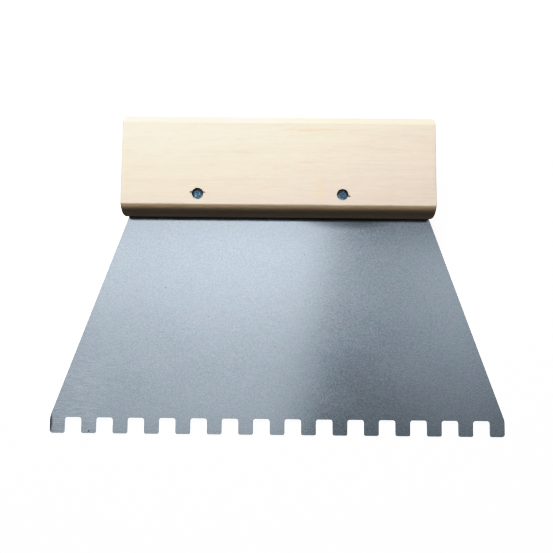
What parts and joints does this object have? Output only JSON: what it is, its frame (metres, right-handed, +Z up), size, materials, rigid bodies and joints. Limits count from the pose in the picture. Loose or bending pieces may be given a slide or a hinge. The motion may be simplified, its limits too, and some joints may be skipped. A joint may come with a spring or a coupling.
{
  "type": "notched trowel",
  "caption": "Notched adhesive spreader: a thin tapered steel blade with square teeth, held in the saw kerf of a straight wooden bar handle by sunk rivets.",
  "frame": {"origin": "on the ground under the middle of the tool's box, with the tool lying face up", "axes": "+X along the handle, with the pair of rivets nearer the -X end; +Y from the tooth tips to the handle; +Z up"},
  "size_m": [0.18, 0.1262, 0.0256],
  "materials": {
    "blade_steel": "satin, finely mottled cold-rolled sheet",
    "handle_wood": "planed, bare pale softwood",
    "rivet_steel": "blued, hammered"
  },
  "bodies": {
    "root": {"blade": "blade_steel", "handle": "handle_wood", "rivet_left": "rivet_steel", "rivet_right": "rivet_steel"}
  },
  "joints": []
}
